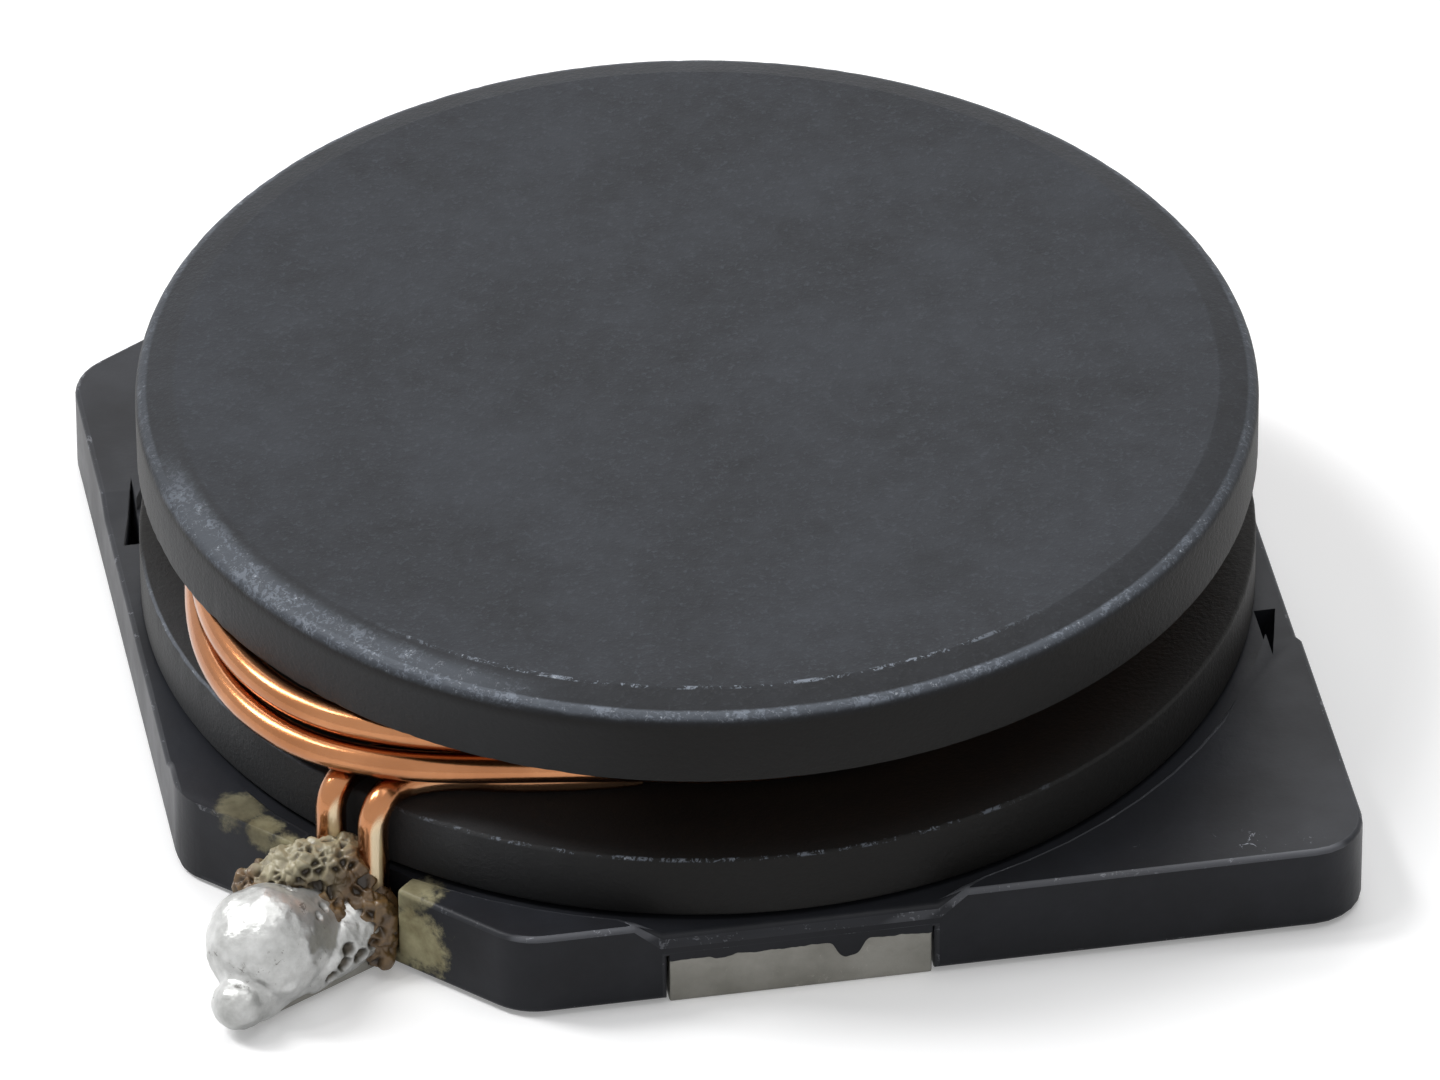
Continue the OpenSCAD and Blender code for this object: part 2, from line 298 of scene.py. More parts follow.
def newMaterial(name, **settings):
    # settings are the values that stay the same all over the surface
    material = bpy.data.materials.new(name)
    material.use_nodes = True
    tree = material.node_tree
    shader = tree.nodes["Principled BSDF"]
    for key, value in settings.items():
        shader.inputs[key.replace("_", " ")].default_value = value
    where = addNode(tree, "ShaderNodeTexCoord").outputs["Object"]
    point = vectorMath(tree, "SCALE", 0, a=where, Scale=1 / mm)
    return material, tree, shader, point


def connect(tree, shader, **sources):
    for key, source in sources.items():
        tree.links.new(source, shader.inputs[key.replace("_", " ")])


def dress(tree, shader, colour, grain, roughness, **more):
    connect(tree, shader, Base_Color=colour, Normal=grain["Normal"], Roughness=roughness, **more)


def attribute(tree, name):
    return addNode(tree, "ShaderNodeAttribute", attribute_name=name).outputs["Fac"]


# The side colour is painted shade on the walls and the bevel. The lighter side colour, the worn
# colour and the bright specks are painted light and glints on the lit front-left, and the worn
# colour is partly real wear.
ferriteLook = dict(
    dark=(0.017, 0.018, 0.0205), light=(0.037, 0.0405, 0.048), speck=(0.062, 0.068, 0.08),
    side=(0.0175, 0.017, 0.0165), sideLit=(0.046, 0.047, 0.049), wornLit=(0.20, 0.225, 0.265),
    glint=(0.62, 0.66, 0.72), wornLitAzimuth=214, frontAzimuth=262, leftAzimuth=197,
    wornLitFrom=0.33, wornLitTo=0.17, lineIn=0.06, lineHalf=0.055, lowLineIn=0.01, dashHalf=0.03)


def ferriteMaterial():
    look, radius = ferriteLook, drumHigh[0]
    bevelStart = radius - drumSizes["bevelWidth"]
    material, tree, shader, point = newMaterial("ferrite", Specular_IOR_Level=0.12)
    wornLit = useGroup(tree, "place", Point=point, Azimuth=look["wornLitAzimuth"])
    front = useGroup(tree, "place", Point=point, Azimuth=look["frontAzimuth"])["Facing"]
    left = useGroup(tree, "place", Point=point, Azimuth=look["leftAzimuth"])["Facing"]
    cloud = mask(tree, "mottle", point, Size=1.2, Contrast=0.85)
    fine = mask(tree, "mottle", point, Size=0.22, Contrast=0.6)
    grain = useGroup(tree, "grain", Point=point, Size=0.05, Depth=0.5)
    colour = mixColour(tree, cloud, look["dark"], look["light"])
    colour = mixColour(tree, times(tree, fine, 0.22), colour, look["speck"])
    colour = mixColour(tree, times(tree, grain["Speckle"], 0.6), colour, look["speck"])
    onTop = fade(tree, wornLit["Height"], rimHeight - 0.1, rimHeight - 0.02)
    onSide = minus(tree, 1.0, fade(tree, wornLit["Height"], rimHeight - 0.2, rimHeight - 0.05))
    bevel = fade(tree, wornLit["Radius"], bevelStart - 0.02, bevelStart + 0.04)
    # painted shade: the bevel is darkened a little, and the side walls below the rim take the
    # darker side colour
    colour = mixColour(tree, times(tree, bevel, 0.3), colour, look["side"])
    colour = mixColour(tree, minus(tree, 1.0, onTop), colour, look["side"])
    # painted light: the side walls that face the lit front-left are painted lighter
    litSide = times(tree, onSide, fade(tree, wornLit["Facing"], 0.7, 0.97))
    colour = mixColour(tree, litSide, colour, look["sideLit"])
    # the bevel is painted bright on one side, partly ground wear and partly painted highlight, and
    # only along its outer edge elsewhere
    broken = mask(tree, "scuffs", point, Size=0.28, Amount=0.75)
    glint = mask(tree, "scuffs", point, Size=0.1, Amount=0.55)
    wide = times(tree, fade(tree, wornLit["Facing"], 0.84, 0.96),
                 fade(tree, wornLit["Radius"], radius - look["wornLitFrom"], radius - look["wornLitTo"]))
    wide = times(tree, times(tree, wide, onTop), mixValue(tree, broken, 0.3, 0.7))
    # painted highlight: a light line along the rim's outer edge, strongest towards the front
    line = ring(tree, wornLit["Radius"], radius - look["lineIn"], look["lineHalf"])
    line = times(tree, times(tree, line, onTop), mixValue(tree, broken, 0.45, 1.0))
    line = times(tree, line, mixValue(tree, fade(tree, front, 0.2, 0.9), 0.35, 1.0))
    # painted highlight dashes along the bevel's inner edge and the low flange, at the front and on
    # the left
    inner = times(tree, ring(tree, wornLit["Radius"], bevelStart, look["dashHalf"]), onTop)
    low = times(tree, ring(tree, wornLit["Radius"], radius - look["lowLineIn"], look["dashHalf"]),
                ring(tree, wornLit["Height"], windowLow, look["dashHalf"]))
    atFront = times(tree, broken, fade(tree, front, 0.75, 0.95))
    atLeft = times(tree, fade(tree, left, 0.92, 0.99), mixValue(tree, broken, 0.5, 0.8))
    dashed = times(tree, most(tree, inner, low), atFront)
    dashed = most(tree, dashed, times(tree, low, atLeft))
    wearAndHighlight = most(tree, most(tree, wide, line), dashed)
    colour = mixColour(tree, wearAndHighlight, colour, look["wornLit"])
    # painted glints: bright specks inside the light band
    colour = mixColour(tree, times(tree, wearAndHighlight, glint), colour, look["glint"])
    dress(tree, shader, colour, grain, mixValue(tree, wearAndHighlight, 0.52, 0.38))
    return material


copperLooks = dict(
    enamelledCopper=dict(bright=(0.47, 0.20, 0.082), deep=(0.34, 0.13, 0.046), roughness=0.17),
    # the packed turns' copy is darker: painted shade for turns deep in the window
    shadedPackedCopper=dict(bright=(0.34, 0.13, 0.05), deep=(0.2, 0.07, 0.027), roughness=0.3))
# a pale, tin-coloured painted reflection streak down the leads
paleStreakLook = dict(colour=(1.0, 0.84, 0.55), cover=0.85, facing=(0.06, -0.998, 0.0), top=1.66, full=1.3)


def copperMaterial(name):
    look, streak = copperLooks[name], paleStreakLook
    material, tree, shader, point = newMaterial(name, Coat_Weight=0.5, Coat_Roughness=0.1)
    cloud = mask(tree, "mottle", point, Size=0.9, Contrast=0.6)
    grain = useGroup(tree, "grain", Point=point, Size=0.05, Depth=0.06)
    rub = mask(tree, "scuffs", point, Size=0.25, Amount=0.35)
    colour = mixColour(tree, cloud, look["deep"], look["bright"])
    colour = mixColour(tree, times(tree, rub, 0.4), colour, [c * 0.6 for c in look["deep"]])
    # the leads get a pale, tin-coloured painted reflection down the sides that face plus and minus
    # y, fading in below the top height
    normal = addNode(tree, "ShaderNodeNewGeometry").outputs["Normal"]
    outward = vectorMath(tree, "DOT_PRODUCT", "Value", a=normal, b=streak["facing"])
    paleStreak = times(tree, fade(tree, calc(tree, "ABSOLUTE", outward), 0.88, 0.98),
                   fade(tree, split(tree, point)[2], streak["top"], streak["full"]))
    colour = mixColour(tree, times(tree, paleStreak, streak["cover"]), colour, streak["colour"])
    roughness = mixValue(tree, cloud, look["roughness"] + 0.08, look["roughness"])
    dress(tree, shader, colour, grain, roughness, Metallic=mixValue(tree, paleStreak, 1.0, 0.35))
    return material


# The edge colour is rubbing and painted highlight on the rounded arrises.
plasticLook = dict(
    dark=(0.0135, 0.014, 0.0165), light=(0.027, 0.029, 0.0355), rub=(0.075, 0.08, 0.09),
    edge=(0.30, 0.31, 0.34), nick=(0.42, 0.44, 0.5), film=(0.62, 0.58, 0.36),
    brown=(0.16, 0.13, 0.06), rubbedLitEdge=(-5.08, -5.15), rubbedLitHeight=(0.70, 0.78),
    rimAzimuth=300, rimRadius=5.29, rimHalf=0.05, nicksAt=(3.9, -4.93), nicksAcross=(0.95, 0.55),
    nicksDeep=0.2, rearStains=0.8)
# Stains by the terminal: place as out along it, across it and up, then radius and strength.
stains = [((5.48, 0.72, 0.42), 0.42, 1.0), ((5.35, 0.62, 0.86), 0.33, 0.7),
          ((5.5, -0.66, 0.72), 0.27, 0.7), ((5.3, -1.32, 0.86), 0.24, 0.4),
          ((5.4, -0.95, 0.8), 0.2, 0.6)]


def atTerminal(out, across, up, azimuth):
    a = math.radians(azimuth)
    return out * math.cos(a) - across * math.sin(a), out * math.sin(a) + across * math.cos(a), up


def plasticMaterial():
    look = plasticLook
    material, tree, shader, point = newMaterial("mouldedPlastic", Specular_IOR_Level=0.16)
    x, y, z = list(split(tree, point))[:3]
    cloud = mask(tree, "mottle", point, Size=1.1, Contrast=0.7)
    grain = useGroup(tree, "grain", Point=point, Size=0.16, Depth=0.16)
    rub = mask(tree, "scuffs", point, Size=0.8, Amount=0.1)
    colour = mixColour(tree, cloud, look["dark"], look["light"])
    colour = mixColour(tree, times(tree, rub, 0.1), colour, look["rub"])
    # rubbed arrises, lightened along the rounded edges, partly wear and partly painted edge
    # highlight
    arris = attribute(tree, "edge")
    broken = mask(tree, "scuffs", point, Size=0.4, Amount=0.6)
    litArrises = times(tree, arris, mixValue(tree, broken, 0.05, 0.45))
    colour = mixColour(tree, litArrises, colour, look["edge"])
    # the square corner's front edge is lightest, rubbed and with painted highlight, and the rim
    # round the drum a little on its front-right side, as painted highlight
    rubbedAndLit = times(tree, fade(tree, y, *look["rubbedLitEdge"]), fade(tree, z, *look["rubbedLitHeight"]))
    seat = useGroup(tree, "place", Point=point, Azimuth=look["rimAzimuth"])
    rim = times(tree, ring(tree, seat["Radius"], look["rimRadius"], look["rimHalf"]),
                fade(tree, seat["Facing"], 0.75, 0.9))
    rubbedAndLit = times(tree, arris, most(tree, rubbedAndLit, times(tree, rim, 0.6)))
    rubbedAndLit = times(tree, rubbedAndLit, mixValue(tree, broken, 0.35, 0.95))
    colour = mixColour(tree, rubbedAndLit, colour, look["edge"])
    # nicks on the pad behind that edge
    near = times(tree, ring(tree, y, look["nicksAt"][1], look["nicksDeep"]),
                 fade(tree, distanceFrom(tree, x, look["nicksAt"][0]), *look["nicksAcross"]))
    near = times(tree, near, fade(tree, z, baseHigh[2] - 0.08, baseHigh[2] - 0.02))
    nick = mask(tree, "scuffs", point, Size=0.6, Amount=0.52)
    colour = mixColour(tree, times(tree, near, nick), colour, look["nick"])
    # flux has run over the plastic on both sides of the leads
    tone = mask(tree, "mottle", point, Size=0.3, Contrast=0.85)
    flux = mixColour(tree, tone, look["brown"], look["film"])
    covered = None
    for half, share in ((0, 1.0), (180, look["rearStains"])):
        for place, radius, strength in stains:
            centre = atTerminal(*place, terminalAzimuth + half)
            stain = mask(tree, "patch", point, Radius=radius, Centre=centre)
            stain = times(tree, stain, strength * share)
            covered = stain if covered is None else most(tree, covered, stain)
    colour = mixColour(tree, covered, colour, flux)
    dress(tree, shader, colour, grain, mixValue(tree, cloud, 0.46, 0.34))
    return material


stripLook = dict(dark=(0.20, 0.195, 0.172), light=(0.32, 0.313, 0.285), rub=(0.45, 0.44, 0.40))


def stripMaterial():
    look = stripLook
    material, tree, shader, point = newMaterial("tinnedStrip", Metallic=0.75)
    cloud = mask(tree, "mottle", point, Size=0.7, Contrast=0.7)
    grain = useGroup(tree, "grain", Point=point, Size=0.04, Depth=0.25)
    rub = mask(tree, "scuffs", point, Size=0.3, Amount=0.5)
    colour = mixColour(tree, cloud, look["dark"], look["light"])
    colour = mixColour(tree, times(tree, rub, 0.4), colour, look["rub"])
    dress(tree, shader, colour, grain, mixValue(tree, cloud, 0.55, 0.42))
    return material


solderLook = dict(dull=(0.34, 0.344, 0.332), bright=(0.82, 0.825, 0.815), pitSpotsAndShade=(0.07, 0.06, 0.045))


def solderMaterial():
    look = solderLook
    material, tree, shader, point = newMaterial("solder", Metallic=0.55)
    cloud = mask(tree, "mottle", point, Size=0.35, Contrast=0.8)
    grain = useGroup(tree, "grain", Point=point, Size=0.07, Depth=0.35)
    pits = mask(tree, "scuffs", point, Size=0.4, Amount=0.5)
    # random dark spots, and painted shade that deepens towards the bottom of the pressed dents
    spotsAndHoleShade = most(tree, times(tree, pits, 0.6), attribute(tree, "holeShade"))
    colour = mixColour(tree, cloud, look["dull"], look["bright"])
    colour = mixColour(tree, spotsAndHoleShade, colour, look["pitSpotsAndShade"])
    dress(tree, shader, colour, grain, mixValue(tree, cloud, 0.42, 0.26))
    return material


fluxLook = dict(beige=(0.46, 0.41, 0.27), amber=(0.21, 0.125, 0.045), brown=(0.075, 0.036, 0.013),
                holeShade=(0.035, 0.022, 0.012))


def fluxMaterial():
    look = fluxLook
    material, tree, shader, point = newMaterial("burntFlux", Specular_IOR_Level=0.5,
                                                Coat_Weight=0.25, Coat_Roughness=0.2)
    cloud = mask(tree, "mottle", point, Size=0.3, Contrast=0.9)
    grain = useGroup(tree, "grain", Point=point, Size=0.05, Depth=0.5)
    burnt = mixColour(tree, cloud, look["brown"], look["amber"])
    pale = mixColour(tree, cloud, [c * 0.62 for c in look["beige"]], look["beige"])
    colour = mixColour(tree, attribute(tree, "foam"), burnt, pale)
    # painted shade in the bottoms of the burst bubbles
    colour = mixColour(tree, attribute(tree, "holeShade"), colour, look["holeShade"])
    dress(tree, shader, colour, grain, mixValue(tree, cloud, 0.5, 0.3))
    return material


glueLook = dict(deep=(0.22, 0.17, 0.10), thin=(0.42, 0.35, 0.24))


def glueMaterial():
    material, tree, shader, point = newMaterial("glueFilm", Roughness=0.3)
    cloud = mask(tree, "mottle", point, Size=0.8, Contrast=0.7)
    connect(tree, shader, Base_Color=mixColour(tree, cloud, glueLook["deep"], glueLook["thin"]))
    return material


studio = dict(floorSeen=(0.92, 0.92, 0.925), floorUnseen=(0.42, 0.42, 0.43), floorGlow=0.22,
              floorHalf=1.5, daylight=0.30)


def seenRays(tree):
    # 1 to the eye, in reflections and through glass, and 0 for the light that falls on the part
    path = addNode(tree, "ShaderNodeLightPath").outputs
    return most(tree, path["Is Camera Ray"],
                most(tree, path["Is Glossy Ray"], path["Is Transmission Ray"]))


def floorMaterial():
    # bright where it is seen, and darker where it would only throw light up under the part
    material, tree, shader, point = newMaterial("floor", Roughness=0.9, Specular_IOR_Level=0.0,
                                                Emission_Color=(1, 1, 1, 1))
    seen = seenRays(tree)
    colour = mixColour(tree, seen, studio["floorUnseen"], studio["floorSeen"])
    connect(tree, shader, Base_Color=colour,
            Emission_Strength=times(tree, seen, studio["floorGlow"]))
    return material


def makeWorld():
    world = bpy.data.worlds.new("studio")
    world.use_nodes = True
    bpy.context.scene.world = world
    tree = world.node_tree
    sky = tree.nodes["Background"].inputs
    sky["Color"].default_value = (1, 1, 1, 1)
    tree.links.new(mixValue(tree, seenRays(tree), studio["daylight"], 1.0), sky["Strength"])


def makeFloor():
    mesh = bpy.data.meshes.new("floor")
    s = studio["floorHalf"]
    mesh.from_pydata([(-s, -s, 0), (s, -s, 0), (s, s, 0), (-s, s, 0)], [], [(0, 1, 2, 3)])
    floor = newObject("floor", mesh)
    mesh.materials.append(floorMaterial())


def settle(piece):
    # what the modifiers make becomes the plain mesh
    bpy.context.view_layer.update()
    graph = bpy.context.evaluated_depsgraph_get()
    mesh = bpy.data.meshes.new_from_object(piece.evaluated_get(graph), depsgraph=graph)
    piece.modifiers.clear()
    piece.data = mesh
    return piece


def makePiece(piece, material, slotName, *nodes, smooth=True):
    mesh = piece.data
    mesh.transform(Matrix.Scale(mm, 4))
    mesh.materials.clear()
    mesh.materials.append(material)
    if smooth:
        mesh.polygons.foreach_set("use_smooth", [True] * len(mesh.polygons))
    mesh.update()
    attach(piece, "root")
    if nodes:
        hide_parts(*nodes)
    print("made", piece.name, len(mesh.polygons), "faces")
    return piece


def readVertices(mesh, key="co"):
    # positions, or with "normal" the directions that the vertices face
    out = np.empty(len(mesh.vertices) * 3, np.float32)
    mesh.vertices.foreach_get(key, out)
    return out.reshape(-1, 3).astype(float)


def setPoints(mesh, co):
    mesh.vertices.foreach_set("co", co.astype(np.float32).ravel())
    mesh.update()


def addAttribute(mesh, name, values):
    layer = mesh.attributes.new(name, "FLOAT", "POINT")
    layer.data.foreach_set("value", values.astype(np.float32))


def noiseAt(co, size, seed=0.0):
    shift = Vector((seed * 7.1, seed * 3.3, seed * 5.7))
    return np.array([noise.noise(Vector(p) / size + shift) for p in co])


def rounded(corners, steps):
    # corners are (x, y, radius); each becomes an arc tangent to its two sides
    out = []
    count = len(corners)
    for i, (x, y, r) in enumerate(corners):
        p = Vector((x, y))
        if r <= 0:
            out.append(p)
            continue
        a = (Vector(corners[i - 1][:2]) - p).normalized()
        b = (Vector(corners[(i + 1) % count][:2]) - p).normalized()
        half = a.angle(b) / 2
        centre = p + (a + b).normalized() * (r / math.sin(half))
        start = p + a * (r / math.tan(half)) - centre
        end = p + b * (r / math.tan(half)) - centre
        turn = start.angle_signed(end)
        for k in range(steps + 1):
            out.append(centre + Matrix.Rotation(-turn * k / steps, 2) @ start)
    return out


def subdivide(profile, longest):
    out = []
    for i, p in enumerate(profile[:-1]):
        q = profile[i + 1]
        n = max(1, math.ceil((q - p).length / longest))
        out += [p.lerp(q, k / n) for k in range(n)]
    return out + [profile[-1]]


def lathe(name, profile, sides):
    # the profile runs from the axis at the bottom, outwards and up to the axis at the top
    angles = [2 * math.pi * k / sides for k in range(sides)]
    circle = [(math.cos(a), math.sin(a)) for a in angles]
    inner = profile[1:-1]
    verts = [(p.x * c, p.x * s, p.y) for p in inner for c, s in circle]
    bottom, top = len(verts), len(verts) + 1
    verts += [(0, 0, profile[0].y), (0, 0, profile[-1].y)]
    faces = []
    for i in range(len(inner) - 1):
        for k in range(sides):
            n = (k + 1) % sides
            faces.append((i * sides + k, i * sides + n, (i + 1) * sides + n, (i + 1) * sides + k))
    last = (len(inner) - 1) * sides
    for k in range(sides):
        n = (k + 1) % sides
        faces.append((n, k, bottom))
        faces.append((last + k, last + n, top))
    mesh = bpy.data.meshes.new(name)
    mesh.from_pydata(verts, [], faces)
    return newObject(name, mesh)


drumSizes = dict(lowFlange=0.625, window=0.865, topFlange=0.7, post=2.3, bevelWidth=0.36,
                 rimRound=0.11, flangeRound=0.035, postRound=0.06, bevelRound=0.05,
                 arcSteps=5, longest=0.4, sides=480, chip=0.03, chipWidth=0.09, chipHeight=0.06,
                 middle=1.85)
windowLow = drumLow[2] + drumSizes["lowFlange"]
windowTop = windowLow + drumSizes["window"]
rimHeight = windowTop + drumSizes["topFlange"]


def makeDrum(material):
    s = drumSizes
    r, low, top = drumHigh[0], drumLow[2], drumHigh[2]
    edge, inside = s["flangeRound"], s["postRound"]
    corners = [(0, low, 0), (r, low, edge), (r, windowLow, edge), (s["post"], windowLow, inside),
               (s["post"], windowTop, inside), (r, windowTop, edge), (r, rimHeight, s["rimRound"]),
               (r - s["bevelWidth"], top, s["bevelRound"]), (0, top, 0)]
    profile = subdivide(rounded(corners, s["arcSteps"]), s["longest"])
    drum = lathe("drumCore", profile, s["sides"])
    co = readVertices(drum.data)
    radius = np.hypot(co[:, 0], co[:, 1])
    # the pressed edges are a little ragged, most at the worn side; they only ever lose material
    nearRim = np.exp(-((radius - r) / s["chipWidth"]) ** 2)
    nearEdge = np.maximum.reduce([np.exp(-((co[:, 2] - z) / s["chipHeight"]) ** 2)
                                  for z in (rimHeight, windowTop, windowLow)])
    azimuth = np.arctan2(co[:, 1], co[:, 0])
    facing = np.cos(azimuth - math.radians(ferriteLook["wornLitAzimuth"]))
    rough = 0.35 + 0.65 * np.clip((facing - 0.75) / 0.2, 0, 1)
    coarse, fine = noiseAt(co, 0.11, 1), noiseAt(co, 0.045, 2)
    chips = np.clip(coarse - 0.05, 0, 1) + 0.5 * np.clip(fine, 0, 1)
    loss = s["chip"] * chips * rough * nearRim * nearEdge
    co[:, :2] -= co[:, :2] / np.maximum(radius, 0.01)[:, None] * loss[:, None]
    co[:, 2] -= np.sign(co[:, 2] - s["middle"]) * loss * 0.4
    setPoints(drum.data, co)
    return makePiece(drum, material, "ferrite", "drum_core")


# The winding: packed turns, the last turn of each strand, and the leads. A last turn swings
# out over a terminal, wider on its left side (leftAngle) than on its right one.
wire = dict(thick=0.28, pack=4.075, rows=3, turn=4.235, lead=5.315, pitch=0.466, shift=0.055,
            bend=0.25, bendStep=6, straight=0.02, foot=0.22, swings=(1.05, 0.915),
            lags=(10.0, 11.0), leftAngle=31.0, rightAngle=23.0, resolution=240, section=20)
packed = dict(looseness=0.0015, seed=4, resolution=180, section=14, deeper=0.86, clearance=0.01)
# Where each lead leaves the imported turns: points out along the terminal and across it.
leadRoutes = [[(3.6, 1.4), (3.82, 1.115), (4.053, 0.788), (4.21, 0.518), (4.42, 0.19),
               (4.62, -0.1), (4.86, -0.26)],
              [(3.55, 1.85), (3.79, 1.6), (4.05, 1.28), (4.3, 0.93), (4.456, 0.66),
               (4.64, 0.42), (4.86, 0.24)]]
rowStep = (drumSizes["window"] - 2 * packed["clearance"]) / wire["rows"]
rowHeights = [windowLow + packed["clearance"] + rowStep * (i + 0.5) for i in range(wire["rows"])]


def newTree(name, **sizes):
    # a whole number makes a socket for whole numbers
    tree = bpy.data.node_groups.new(name, "GeometryNodeTree")
    face = tree.interface
    face.new_socket("Geometry", in_out="INPUT", socket_type="NodeSocketGeometry")
    for label, value in sizes.items():
        kind = "NodeSocketInt" if isinstance(value, int) else "NodeSocketFloat"
        face.new_socket(label, in_out="INPUT", socket_type=kind).default_value = value
    face.new_socket("Material", in_out="INPUT", socket_type="NodeSocketMaterial")
    face.new_socket("Geometry", in_out="OUTPUT", socket_type="NodeSocketGeometry")
    start, end = tree.nodes.new("NodeGroupInput"), tree.nodes.new("NodeGroupOutput")
    return tree, start.outputs, end.inputs


def growWith(tree, name, mesh=None, **values):
    piece = newObject(name, mesh or bpy.data.meshes.new(name))
    modifier = piece.modifiers.new("grow", "NODES")
    modifier.node_group = tree
    for item in tree.interface.items_tree:
        if item.item_type == "SOCKET" and item.in_out == "INPUT" and item.name in values:
            modifier[item.identifier] = values[item.name]
    return settle(piece)


def circleCurve(tree, resolution, radius):
    given = {"Resolution": resolution, "Radius": radius}
    return addNode(tree, "GeometryNodeCurvePrimitiveCircle", given).outputs[0]


def sweep(tree, curve, thick, section, capped):
    outline = circleCurve(tree, section, times(tree, thick, 0.5))
    given = {"Curve": curve, "Profile Curve": outline, "Fill Caps": capped}
    return addNode(tree, "GeometryNodeCurveToMesh", given).outputs[0]


def closeTree(tree, mesh, material, out):
    real = addNode(tree, "GeometryNodeRealizeInstances", {0: mesh}).outputs[0]
    given = {"Geometry": real, "Material": material}
    tree.links.new(addNode(tree, "GeometryNodeSetMaterial", given).outputs[0], out[0])


def lastTurnTree():
    # a closed turn that swings out over the leads of both terminals
    tree, given, out = newTree("lastTurn", Turn=4.2, Swing=1.0, Lag=6.0, Left=35.0, Right=22.0,
                               Terminal=225.0, Height=1.8, Thick=0.28, Resolution=240, Section=20)
    circle = circleCurve(tree, given["Resolution"], given["Turn"])
    place = tree.nodes.new("GeometryNodeInputPosition").outputs[0]
    parts = split(tree, place)
    angle = calc(tree, "DEGREES", calc(tree, "ARCTAN2", parts[1], parts[0]))
    total = None
    for turned in (0.0, 180.0):
        past = minus(tree, angle, plus(tree, given["Terminal"], turned))
        past = calc(tree, "WRAP", plus(tree, past, given["Lag"]), 180.0, -180.0)
        onRight = calc(tree, "GREATER_THAN", past, 0.0)
        share = calc(tree, "DIVIDE", past, mixValue(tree, onRight, given["Left"], given["Right"]))
        bell = calc(tree, "EXPONENT", times(tree, times(tree, share, share), -1.0))
        total = bell if total is None else plus(tree, total, bell)
    outward = vectorMath(tree, "NORMALIZE", 0, a=place)
    shift = vectorMath(tree, "SCALE", 0, a=outward, Scale=times(tree, total, given["Swing"]))
    shift = vectorMath(tree, "ADD", 0, a=shift, b=combine(tree, z=given["Height"]))
    moved = {"Geometry": circle, "Offset": shift}
    curve = addNode(tree, "GeometryNodeSetPosition", moved).outputs[0]
    mesh = sweep(tree, curve, given["Thick"], given["Section"], False)
    closeTree(tree, mesh, given["Material"], out)
    return tree


def leadTree():
    # sweeps the wire along the edges it is given
    tree, given, out = newTree("lead", Thick=0.28, Section=20)
    curve = addNode(tree, "GeometryNodeMeshToCurve", {0: given["Geometry"]}).outputs[0]
    mesh = sweep(tree, curve, given["Thick"], given["Section"], True)
    closeTree(tree, mesh, given["Material"], out)
    return tree


def packTree():
    # rows of turns, two deep so that nothing shows between them, each a little out of line
    tree, given, out = newTree("packedTurns", Pack=4.0, Rows=3, Step=0.28, First=1.6, Thick=0.28,
                               Looseness=0.01, Seed=4, Resolution=180)
    layers = []
    for depth in (0, 1):
        inward = times(tree, given["Thick"], 0.5 + packed["deeper"] * depth)
        circle = circleCurve(tree, given["Resolution"], minus(tree, given["Pack"], inward))
        first = plus(tree, given["First"], times(tree, given["Step"], 0.5 * depth))
        rows = addNode(tree, "GeometryNodeMeshLine", {
            "Count": minus(tree, given["Rows"], float(depth)),
            "Start Location": combine(tree, z=first), "Offset": combine(tree, z=given["Step"])})
        limits = {2: times(tree, given["Looseness"], -1.0), 3: given["Looseness"],
                  "Seed": given["Seed"]}
        stray = addNode(tree, "FunctionNodeRandomValue", limits, data_type="FLOAT").outputs[1]
        wide = plus(tree, 1.0, stray)
        turns = addNode(tree, "GeometryNodeInstanceOnPoints", {
            "Points": rows.outputs[0], "Instance": circle, "Scale": combine(tree, wide, wide, 1.0)})
        real = addNode(tree, "GeometryNodeRealizeInstances", {0: turns.outputs[0]})
        layers.append(real.outputs[0])
    joined = tree.nodes.new("GeometryNodeJoinGeometry")
    for layer in layers:
        tree.links.new(layer, joined.inputs[0])
    mesh = sweep(tree, joined.outputs[0], given["Thick"], packed["section"], False)
    closeTree(tree, mesh, given["Material"], out)
    return tree


def join(pieces, name):
    # one plain mesh from several
    whole = bmesh.new()
    for piece in pieces:
        whole.from_mesh(piece.data)
        bpy.data.objects.remove(piece)
    mesh = bpy.data.meshes.new(name)
    whole.to_mesh(mesh)
    whole.free()
    return newObject(name, mesh)


def through(route, steps):
    # a smooth run through the points
    out = []
    for i in range(len(route) - 1):
        around = [min(max(i + k, 0), len(route) - 1) for k in (-1, 0, 1, 2)]
        p0, p1, p2, p3 = (Vector(route[k]) for k in around)
        for k in range(steps):
            t = k / steps
            out.append(0.5 * (2 * p1 + (p2 - p0) * t + (2 * p0 - 5 * p1 + 4 * p2 - p3) * t ** 2
                              + (3 * p1 - p0 - 3 * p2 + p3) * t ** 3))
    return out


